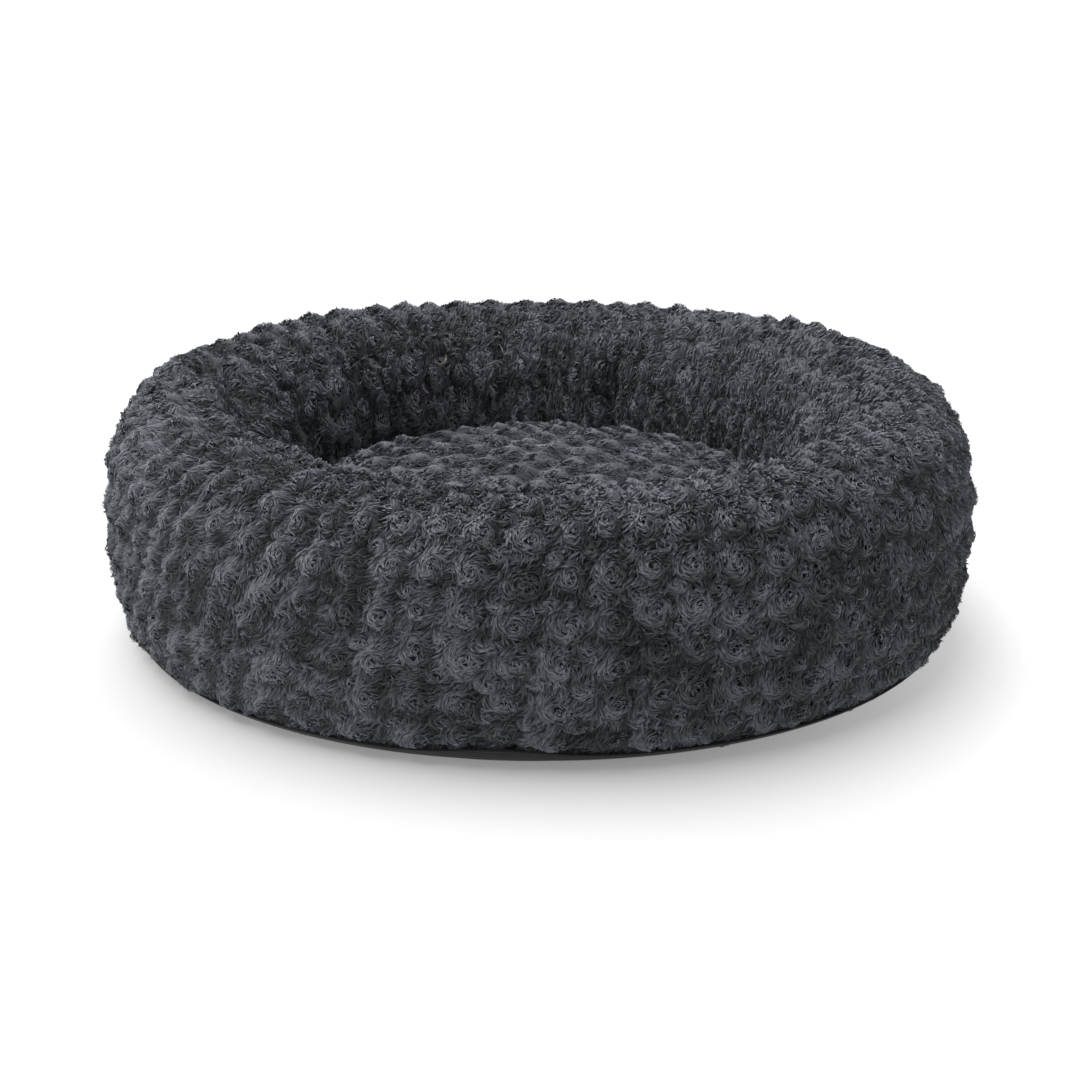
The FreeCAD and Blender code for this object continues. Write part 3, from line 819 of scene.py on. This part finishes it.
# %% Pile and backing
def pile_material(name, dark, light):
    """Between dark and light by the strand's tone times its depth: painted shade at the root, a smooth step
    along its length.
    """
    sheen = {"Sheen Weight": 0.75, "Sheen Roughness": 0.4, "Sheen Tint": (0.75, 0.8, 0.9, 1)}
    material, add, feed = node_material(name, {"Roughness": 0.75, "Specular IOR Level": 0.35, **sheen})
    coordinates = add("ShaderNodeUVMap", uv_map="OFBake")
    split = add("ShaderNodeSeparateXYZ", {"Vector": coordinates.outputs["UV"]})
    # painted shade: dark at the root, where light dies in the pile
    depth = add(
        "ShaderNodeMapRange",
        {"Value": split.outputs["Y"], "From Min": 0.0, "From Max": 0.85, "To Min": 0.32, "To Max": 1.0},
        interpolation_type="SMOOTHSTEP",
    )
    tone = add("ShaderNodeMapRange", {"Value": split.outputs["X"], "To Min": 0.15, "To Max": 1.0})
    factors = {0: depth.outputs["Result"], 1: tone.outputs["Result"]}
    both = add("ShaderNodeMath", factors, operation="MULTIPLY")
    mix = add("ShaderNodeMix", {"Factor": both.outputs[0]}, data_type="RGBA")
    set_inputs(mix, {"A": (*dark, 1), "B": (*light, 1)})
    feed("Base Color", mix.outputs["Result"])
    return material


def backing_material(name, colour):
    """Cloth under the pile: nearly black, with a grain from half to one and a half times its colour."""
    material, add, feed = node_material(name, {"Roughness": 0.95})
    dark, light = ([share_of * c for c in colour] for share_of in (0.5, 1.5))
    grain = grained_colour(add, feed, 260.0, 4.0, dark, light)
    emboss(add, feed, grain, 0.001, 0.6)
    return material


charcoal_pile = pile_material("charcoal_pile", (0.007, 0.0075, 0.009), (0.2, 0.213, 0.243))
charcoal_backing = backing_material("charcoal_backing", (0.016, 0.017, 0.02))
print("finishes:", charcoal_pile.name, charcoal_backing.name)

# %% [markdown]
# ## Bolster cover
# The knitted backing shows only where the pile parts, so it needs no threads: one dark surface is enough. It
# follows the roses' height, and runs out level at both feet, where it is sewn.

# %% Bolster cover
def round_way(around, columns):
    """Length round the cloth of a place counted in columns: its share of the whole round."""
    return around / columns * ROSES_ROUND * ROSE_PITCH


def ring_place(u, v):
    """Points and normals of the bolster's cloth: u gives the share of the round, and v the row."""
    return cloth_place(ring, ring_normals, u / CLOTH_ROUND * RING_ROUNDS, v / RING_STEP)


SEAM_ALLOWANCE = 30
cells_u = round_way(np.arange(RING_ROUNDS)[:, None], RING_ROUNDS) + np.zeros((1, ROWS))
cells_v = row_numbers[None, :] * RING_STEP + np.zeros((RING_ROUNDS, 1))
level_at_seam = np.clip(np.minimum(share, 1 - share) * SEAM_ALLOWANCE, 0, 1)[None, :]
cover_points = ring + ring_normals * (rose_relief(cells_u, cells_v) * level_at_seam)[..., None]
bolster = mesh_object("bolster_cloth", cover_points, ring_faces(RING_ROUNDS, ROWS))
bolster.data.materials.append(charcoal_backing)
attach(bolster, "bed")
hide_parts("bolster_cover")
print("bolster cloth has", len(bolster.data.polygons), "faces")

# %% [markdown]
# ## Bolster pile
# A real bed has millions of hairs. Four hundred thousand strands stand for them, with a third as many in the
# strip behind the cushion, in eight pieces so that no mesh is too heavy. Paws ruffle the inner wall.

# %% Bolster pile
STRANDS = 400000
PARTS = 8
HIDDEN_FROM, HIDDEN_DENSITY = 0.84, 0.35
steps_round = np.linalg.norm(np.roll(ring, -1, 0) - ring, axis=2)[:, :-1]
density = np.where(share[:-1] > HIDDEN_FROM, HIDDEN_DENSITY, 1.0)
areas = steps_round * RING_STEP * density[None, :]
print(f"bolster pile area {areas.sum():.3f} m2")
around, along = scatter(areas, STRANDS, np.random.default_rng(21))
part_of = (around * PARTS / RING_ROUNDS).astype(int) % PARTS
for part in range(PARTS):
    mine = part_of == part
    columns, behind = around[mine], along[mine]
    unruly = 0.33 * np.interp(behind, [crest_row, crest_row + 20], [0, 1])
    calm = 1 + 0.05 * np.interp(behind, [crest_row, crest_row + 24], [0, 1])
    lean = bump(62, 42)[columns.astype(int)] * np.interp(behind, [crest_row, crest_row + 12], [1, 0])
    # painted light and shade of the lip, the folds and the sides, for each strand
    shade = sample_grid(painted_shades[..., None], columns, behind)[..., 0]
    piece = grow_pile(
        f"bolster_pile_{part + 1}", ring_place, round_way(columns, RING_ROUNDS), behind * RING_STEP,
        charcoal_pile, 100 + part, unruly=unruly, calm=calm, rough=1.15, painted_light_and_shade=shade, combed=lean,
    )
    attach(piece, "bed")

# %% [markdown]
# ## Stray fibres
# Pale fibres cling to dark plush. Nine lie on the far inner wall, grown like the pile, but longer, thinner,
# and lifted clear of it.

# %% Stray fibres
FIBRES = 9
fibre_material, add, feed = node_material("stray_fibre", {"Roughness": 0.6})
grained_colour(add, feed, 400.0, 2.0, (0.2, 0.17, 0.13), (0.42, 0.37, 0.29))
chance = np.random.default_rng(43)
fibre_angle = np.radians(-90 - chance.uniform(151, 178, FIBRES)) % (2 * math.pi)
fibre_v = (crest_row + chance.uniform(18, 28, FIBRES)) * RING_STEP
piece = grow_pile(
    "stray_fibres", ring_place, round_way(fibre_angle, 2 * math.pi), fibre_v, fibre_material, 51,
    length=0.009, width=0.0008, unruly=0.8, raised=0.0022,
)
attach(piece, "bed")

# %% [markdown]
# ## Cushion cover
# The cushion is a low dome of the same plush: a crown, a rounded shoulder, and a lip tucked in over its
# sides. A turned section gives it. Its cloth is turned too, so its roses don't line up with the ring's.

# %% Section of the cushion
DOME_STEP = 0.0024
CUSHION_ROUNDS = 360
CROWN_FULLNESS = 2.4
SHOULDER_HEIGHT, SHOULDER_INSET = 0.086, 0.018
WIDEST = (CUSHION_RADIUS + 0.002, 0.060)
TUCKED = (0.1385, 0.037)
CUSHION_TURN = math.radians(27)
crown = np.linspace(0, 1, 60)
crown_drop = (CUSHION_TOP - SHOULDER_HEIGHT - 0.006) * crown**CROWN_FULLNESS
dome_top = np.stack([crown * (CUSHION_RADIUS - SHOULDER_INSET), CUSHION_TOP - crown_drop], 1)
dome_side = quarter(dome_top[-1], WIDEST, 2.2, False)
dome_under = quarter(WIDEST, TUCKED, 2.0, True)
dome, dome_length = even_steps(np.concatenate([dome_top[:-1], dome_side[:-1], dome_under]), DOME_STEP)
dome = inset_path(dome, -PILE_DEPTH)
dome[0, 0] = 0
DOME_ROWS = len(dome)
turn_c = round_angles(CUSHION_ROUNDS)
cushion_points = revolved(dome[None, :, 0], dome[None, :, 1], turn_c)
way = unit(np.gradient(dome, axis=0))
cushion_normals = revolved(-way[None, :, 1], way[None, :, 0], turn_c)
print(f"cushion cloth {1000 * dome_length:.0f} mm from middle to tuck, {DOME_ROWS} rows")

# %% [markdown]
# ## The cushion's filling
# The shoulder has more cloth than it needs, and puckers. The same solver makes the puckers, with spare cloth
# only there. The very middle, where the columns meet, is left out.

# %% Filling the cushion
CUSHION_SKIP, FIRST_ROW, CUSHION_ROWS = 3, 3, 42
PUCKER_HEIGHT, PUCKER_WIDTH = 0.075, 0.016
CUSHION_SPARE, CUSHION_CAP = 0.12, 0.004
kept_rows = np.linspace(FIRST_ROW, DOME_ROWS - 1, CUSHION_ROWS).round().astype(int)
coarse = cushion_points[::CUSHION_SKIP][:, kept_rows]
i, j = np.meshgrid(np.arange(coarse.shape[0]), np.arange(CUSHION_ROWS), indexing="ij")
pinned = (i * CUSHION_ROWS + j)[(j == 0) | (j >= CUSHION_ROWS - 2)]
slack = np.exp(-(((dome[kept_rows, 1] - PUCKER_HEIGHT) / PUCKER_WIDTH) ** 2))
slack = np.broadcast_to(slack, coarse.shape[:2]).ravel()
coarse_faces = ring_faces(*coarse.shape[:2])[:, ::-1]
moved = inflate(
    "cushion_filling", coarse.reshape(-1, 3), coarse_faces, pinned, slack, CUSHION_SPARE, CUSHION_CAP
).reshape(coarse.shape)
cushion_points = filled(cushion_points, cushion_normals, moved, kept_rows, CUSHION_SKIP)
print("coarse cushion of", coarse.shape[0] * CUSHION_ROWS, "points")

# %% [markdown]
# ## The cushion's cloth and pile
# Here u and v run straight across the cloth as it comes off the roll, so the roses keep their square grid.
# The pile is lain on, so it is flatter than the ring's: shallow roses, combed along the nap. Painted light
# makes it lighter than the ring's pile as well.

# %% Cushion cloth
CUSHION_TUFTED = 0.2


def cushion_place(u, v):
    """Points and normals of the cushion's cloth: the angle of u, v gives the column, and the length of
    the two together gives the row."""
    around = ((np.arctan2(v, u) - CUSHION_TURN) / (2 * math.pi) * CUSHION_ROUNDS) % CUSHION_ROUNDS
    return cloth_place(cushion_points, cushion_normals, around, np.hypot(u, v) / DOME_STEP)


places = np.arange(DOME_ROWS)[None, :] * DOME_STEP
cushion_u = places * np.cos(turn_c + CUSHION_TURN)[:, None]
cushion_v = places * np.sin(turn_c + CUSHION_TURN)[:, None]
cushion_relief = rose_relief(cushion_u, cushion_v, CUSHION_TUFTED)
cushion_surface = cushion_points + cushion_normals * cushion_relief[..., None]
cushion = mesh_object("cushion_cloth", cushion_surface, ring_faces(CUSHION_ROUNDS, DOME_ROWS)[:, ::-1])
cushion.data.materials.append(charcoal_backing)
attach(cushion, "cushion")
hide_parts("cushion_top_cover")
print("cushion cloth has", len(cushion.data.polygons), "faces")

# %% Cushion pile
CUSHION_STRANDS = 80000
TUCKED_FROM, TUCKED_DENSITY = 0.165, 0.4
cell_areas = dome[None, :-1, 0] * (2 * math.pi / CUSHION_ROUNDS) * DOME_STEP
cushion_areas = cell_areas * np.ones((CUSHION_ROUNDS, 1))
density = np.where(np.arange(DOME_ROWS - 1) * DOME_STEP > TUCKED_FROM, TUCKED_DENSITY, 1.0)
around, along = scatter(cushion_areas * density[None, :], CUSHION_STRANDS, np.random.default_rng(31))
distance, angle = along * DOME_STEP, around / CUSHION_ROUNDS * 2 * math.pi + CUSHION_TURN
for part in range(2):
    mine = (around >= CUSHION_ROUNDS / 2) == bool(part)
    u, v = (distance * np.cos(angle))[mine], (distance * np.sin(angle))[mine]
    # painted light: every cushion strand is made 0.27 lighter than the ring's
    piece = grow_pile(
        f"cushion_pile_{part + 1}", cushion_place, u, v, charcoal_pile, 200 + part,
        calm=0.8, rough=0.5, painted_light_and_shade=0.27, tufted=CUSHION_TUFTED, combed=0.75,
    )
    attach(piece, "cushion")

# %% [markdown]
# ## Weaves
# The cloths that aren't plush are plain weaves. Threads are two sets of fine waves across each other, and
# one shader group makes them for every such cloth, each at its own size. A tiled picture would need a UV
# map on every piece.

# %% Weave group
weave_group = bpy.data.node_groups.new("plain_weave", "ShaderNodeTree")
for in_out, sockets in (
    ("INPUT", (("Place", "Vector"), ("Threads", "Float"), ("Dark", "Color"), ("Light", "Color"))),
    ("OUTPUT", (("Color", "Color"), ("Height", "Float"))),
):
    for socket, kind in sockets:
        weave_group.interface.new_socket(socket, in_out=in_out, socket_type=f"NodeSocket{kind}")
add = node_adder(weave_group)
group_in = add("NodeGroupInput").outputs
scaled = add("ShaderNodeVectorMath", {0: group_in["Place"], "Scale": group_in["Threads"]}, operation="SCALE")
axes = add("ShaderNodeSeparateXYZ", {"Vector": scaled.outputs["Vector"]}).outputs
sines = [add("ShaderNodeMath", {0: axes[axis]}, operation="SINE").outputs[0] for axis in ("X", "Y", "Z")]
flat = add("ShaderNodeMath", {0: sines[0], 1: sines[1]}, operation="MULTIPLY")
crossed = add("ShaderNodeMath", {0: flat.outputs[0], 1: sines[2]}, operation="ADD")
level = add("ShaderNodeMapRange", {"Value": crossed.outputs[0], "From Min": -1.6, "From Max": 1.6}).outputs[0]
lint = add("ShaderNodeTexNoise", {"Vector": group_in["Place"], "Scale": 45.0, "Detail": 5.0})
blend = add("ShaderNodeMath", {0: level, 1: lint.outputs["Fac"]}, operation="MULTIPLY")
thread = add("ShaderNodeMix", {"Factor": blend.outputs[0]}, data_type="RGBA")
weave_group.links.new(group_in["Dark"], thread.inputs["A"])
weave_group.links.new(group_in["Light"], thread.inputs["B"])
add("NodeGroupOutput", {"Color": thread.outputs["Result"], "Height": level})
print("weave group has", len(weave_group.nodes), "nodes")

# %% Woven cloths
def woven_material(name, threads, dark, light, roughness, depth):
    """A plain weave, threads waves to the metre times 2 pi, with lint."""
    material, add, feed = node_material(name, {"Roughness": roughness, "Sheen Weight": 0.15})
    weave = add("ShaderNodeGroup", node_tree=weave_group)
    set_inputs(weave, {"Threads": threads, "Dark": (*dark, 1), "Light": (*light, 1)})
    place = add("ShaderNodeTexCoord").outputs["Object"]
    material.node_tree.links.new(place, weave.inputs["Place"])
    feed("Base Color", weave.outputs["Color"])
    emboss(add, feed, weave.outputs["Height"], depth, 0.7)
    return material


CLOTHS = (
    ("black_base_cloth", 3600.0, (0.002, 0.002, 0.002), (0.016, 0.016, 0.017), 0.8, 0.0004),
    ("grey_side_cloth", 4200.0, (0.012, 0.013, 0.015), (0.06, 0.064, 0.072), 0.85, 0.0003),
    ("zip_tape_cloth", 6500.0, (0.006, 0.006, 0.007), (0.03, 0.031, 0.034), 0.8, 0.0002),
    ("hem_tape_cloth", 5200.0, (0.004, 0.004, 0.005), (0.024, 0.025, 0.028), 0.85, 0.0002),
    ("filling_fibre", 2400.0, (0.45, 0.45, 0.44), (0.8, 0.8, 0.78), 0.95, 0.001),
)
black_cloth, grey_cloth, tape_cloth, hem_cloth, fibre_cloth = (woven_material(*cloth) for cloth in CLOTHS)
print("weaves:", [cloth[0] for cloth in CLOTHS])

# %% [markdown]
# ## Base cloth
# The black cloth under the bed turns up round its edge, where the plush is sewn to it. By hand this seam is
# never level, so the edge rises and falls, and the plush covers it in some places. One profile does it all:
# out along the floor, round the corner, up the bolster's foot.

# %% Base cloth
BASE_COLUMNS = 480
BASE_LIFT = 0.0013
EDGE_RISE = 0.005
EDGE_INSET = 0.0022
RIPPLE, RIPPLES_FROM = 0.0005, 0.6
BASE_THICKNESS = 0.0011
base_turn = round_angles(BASE_COLUMNS)
edge_rise = np.interp(base_turn, np.append(turn, 2 * math.pi), np.append(hem, hem[0])) + EDGE_RISE
floor_part = np.linspace(0, 0.972, 46)
risen = edge_rise[:, None] * np.linspace(0, 1, 9)[None, :]
foot_radius = np.interp(risen, outer_lower[:, 1], outer_lower[:, 0]) - EDGE_INSET
foot_radius[:, 0] = 0.985 * BASE_RADIUS
base_radius = np.concatenate([floor_part[None, :] * BASE_RADIUS + 0 * base_turn[:, None], foot_radius], 1)
ripple = np.sin(base_turn[:, None] * 23 + 2 * np.sin(base_turn * 3)[:, None])
flat_height = BASE_LIFT + np.abs(RIPPLE * ripple * (floor_part[None, :] > RIPPLES_FROM))
base_height = np.concatenate([flat_height, np.maximum(risen, BASE_LIFT)], 1)
base_points = revolved(base_radius, base_height, base_turn)
base_faces = ring_faces(BASE_COLUMNS, base_points.shape[1])[:, ::-1]
base_cloth = mesh_object("base_cloth", base_points, base_faces)
close_pole(base_cloth)
thicken(base_cloth, BASE_THICKNESS)
base_cloth.data.materials.append(black_cloth)
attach(base_cloth, "bed")
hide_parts("base_panel")
print(f"edge turned up by {1000 * edge_rise.min():.1f} to {1000 * edge_rise.max():.1f} mm")

# %% [markdown]
# ## Cushion sides
# A strip of grey cloth, gathered slightly at its seams, goes round the cushion. A boolean could cut the zip's
# gap, with ragged corners. Leaving out one row of faces is clean, and the coils show through it.

# %% Cushion sides
side_low, side_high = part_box("cushion_boxing")
BOXING_RADIUS, BOXING_LOW, BOXING_HIGH = side_high[0], side_low[2], side_high[2]
ZIP_START, ZIP_END = math.radians(85), math.radians(185)
GAP_LOW, GAP_HIGH, ROWS_BELOW_GAP = 0.0150, 0.0210, 6
SIDE_INSET, SIDE_THICKNESS = 0.0012, 0.0012
SIDE_COLUMNS = 360
side_turn = round_angles(SIDE_COLUMNS)
side_rows = np.concatenate(
    [np.linspace(BOXING_LOW, GAP_LOW, ROWS_BELOW_GAP), np.linspace(GAP_HIGH, BOXING_HIGH, 10)]
)
pucker = 0.0007 * np.sin(side_turn * 57 + 1.3 * np.sin(side_turn * 5))
from_seams = np.sin(math.pi * (side_rows - BOXING_LOW) / (BOXING_HIGH - BOXING_LOW))
side_radius = BOXING_RADIUS - SIDE_INSET + pucker[:, None] * (1 - 0.6 * from_seams)[None, :]
side_faces = ring_faces(SIDE_COLUMNS, len(side_rows)).reshape(SIDE_COLUMNS, len(side_rows) - 1, 4)
keep = np.ones(side_faces.shape[:2], bool)
keep[(side_turn > ZIP_START) & (side_turn < ZIP_END - math.radians(1)), ROWS_BELOW_GAP - 1] = False
side_points = revolved(side_radius, side_rows[None, :], side_turn)
cushion_sides = mesh_object("cushion_sides", side_points, side_faces[keep])
thicken(cushion_sides, SIDE_THICKNESS)
cushion_sides.data.materials.append(grey_cloth)
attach(cushion_sides, "cushion")
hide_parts("cushion_boxing")
print(f"zip gap {1000 * (GAP_HIGH - GAP_LOW):.0f} mm high")

# %% [markdown]
# ## Cushion underside
# A disc of the same cloth closes the cushion below. The filling's weight lies on it, so it needs no solver:
# it is flat but for faint ripples, and turns up at the very edge.

# %% Cushion underside
UNDER_ROWS_OUT = 40
QUILTING = 0.0005
under_low, under_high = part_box("cushion_underside")
UNDER_RADIUS, UNDER_HEIGHT = under_high[0] - 0.0005, under_low[2] + 0.0002
under_share = np.linspace(0, 1, UNDER_ROWS_OUT)[None, :]
quilting = QUILTING * np.cos(side_turn[:, None] * 9) * np.sin(math.pi * under_share * 4) * under_share
under_height = UNDER_HEIGHT + np.abs(quilting) + 0.0012 * (under_share > 0.985)
under_points = revolved(under_share * UNDER_RADIUS, under_height, side_turn)
cushion_base = mesh_object("cushion_base", under_points, ring_faces(SIDE_COLUMNS, UNDER_ROWS_OUT)[:, ::-1])
close_pole(cushion_base)
thicken(cushion_base, BASE_THICKNESS)
cushion_base.data.materials.append(grey_cloth)
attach(cushion_base, "cushion")
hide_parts("cushion_underside")
print(f"underside {2000 * UNDER_RADIUS:.0f} mm across")

# %% [markdown]
# ## Zip
# A zip for a soft cover is a nylon coil on each tape: one long spring whose turns hook into the other's.
# A screw modifier makes only straight springs. A circle carried along the zip's arc bends with the cushion.

# %% Zip coils
COIL_RADIUS = 0.1371
COIL_PITCH = 0.0013
COIL_DEPTH, COIL_HEIGHT = 0.00062, 0.00072
WIRE_RADIUS = 0.00019
WIRE_SIDES = 4
POINTS_A_TURN = 10
END_GAP = 0.01


def coil(name, height, phase, material):
    """Spring along the zip's arc. Its line leaves the arc outwards by the cosine of its spin and upwards by
    the sine: turns 1.2 mm deep and 1.4 mm high, 1.3 mm apart. The wire, 0.4 mm thick, is a square carried
    along that line."""
    turns = int(COIL_RADIUS * (ZIP_END - ZIP_START) / COIL_PITCH)
    t = np.linspace(0, 1, turns * POINTS_A_TURN)
    angle = ZIP_START + END_GAP + (ZIP_END - ZIP_START - 2 * END_GAP) * t
    spin = 2 * math.pi * turns * t + phase
    reach, rise = COIL_RADIUS + COIL_DEPTH * np.cos(spin), height + COIL_HEIGHT * np.sin(spin)
    line = np.stack([reach * np.cos(angle), reach * np.sin(angle), rise], 1)
    way = unit(np.gradient(line, axis=0))
    across = unit(np.cross(way, np.stack([np.cos(angle), np.sin(angle), 0 * angle], 1)))
    out = np.cross(across, way)
    corner = (np.arange(WIRE_SIDES) * math.pi / 2)[None, :, None]
    points = line[:, None] + WIRE_RADIUS * (np.cos(corner) * out[:, None] + np.sin(corner) * across[:, None])
    a, b = np.meshgrid(np.arange(len(t) - 1), np.arange(WIRE_SIDES), indexing="ij")
    here, after = a * WIRE_SIDES, (b + 1) % WIRE_SIDES
    there = here + WIRE_SIDES
    faces = np.stack([here + b, here + after, there + after, there + b], -1).reshape(-1, 4)
    item = mesh_object(name, points, faces)
    item.data.materials.append(material)
    print(f"{name}: {turns} turns")
    return item


# %% [markdown]
# ## Nylon and metal
# Coils are moulded and sliders cast, so both look even, with faint mottling. Three separate noises would
# look dirty: one noise drives colour, gloss and height together.

# %% Hard finishes
def speckled_material(name, dark, light, scale, roughness, metallic, depth):
    """A hard finish. Noise runs its colour from dark to light, its roughness from three quarters to five
    quarters of its own, and its height over depth."""
    material, add, feed = node_material(name, {"Metallic": metallic})
    place = add("ShaderNodeTexCoord").outputs["Object"]
    noise = add("ShaderNodeTexNoise", {"Vector": place, "Scale": scale, "Detail": 6.0}).outputs["Fac"]
    mix = add("ShaderNodeMix", {"Factor": noise}, data_type="RGBA")
    set_inputs(mix, {"A": (*dark, 1), "B": (*light, 1)})
    feed("Base Color", mix.outputs["Result"])
    gloss_range = {"To Min": roughness * 0.75, "To Max": roughness * 1.25}
    gloss = add("ShaderNodeMapRange", {"Value": noise, **gloss_range})
    feed("Roughness", gloss.outputs["Result"])
    emboss(add, feed, noise, depth, 0.3)
    return material


HARD_DEPTH = 0.0001
NYLON_SHADES = (0.008, 0.008, 0.009), (0.02, 0.02, 0.022)
METAL_SHADES = (0.16, 0.16, 0.165), (0.3, 0.3, 0.31)
coil_nylon = speckled_material("coil_nylon", *NYLON_SHADES, 900.0, 0.4, 0.0, HARD_DEPTH)
zip_metal = speckled_material("zip_metal", *METAL_SHADES, 700.0, 0.35, 1.0, HARD_DEPTH)
for side, (node, height) in enumerate((("zip_teeth_lower", 0.01695), ("zip_teeth_upper", 0.01905))):
    piece = coil(f"zip_coil_{side + 1}", height, side * math.pi, coil_nylon)
    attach(piece, "cushion")
    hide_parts(node)

# %% [markdown]
# ## Finishes for the design's own parts
# Tapes, stops, slider, pull and fillings could be made again, but their shapes in the design are right. They
# only need a finish.

# %% Finishes for the design's own parts
finishes = {
    "bolster_fill": fibre_cloth,
    "cushion_fill": fibre_cloth,
    "hem_tape": hem_cloth,
    "zip_tape_upper": tape_cloth,
    "zip_tape_lower": tape_cloth,
    "zip_top_stop": zip_metal,
    "zip_bottom_stop": zip_metal,
    "zip_slider": zip_metal,
    "zip_pull": zip_metal,
}
for node, material in finishes.items():
    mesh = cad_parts[node].data
    mesh.materials.clear()
    mesh.materials.append(material)
print("finished", len(finishes), "parts")
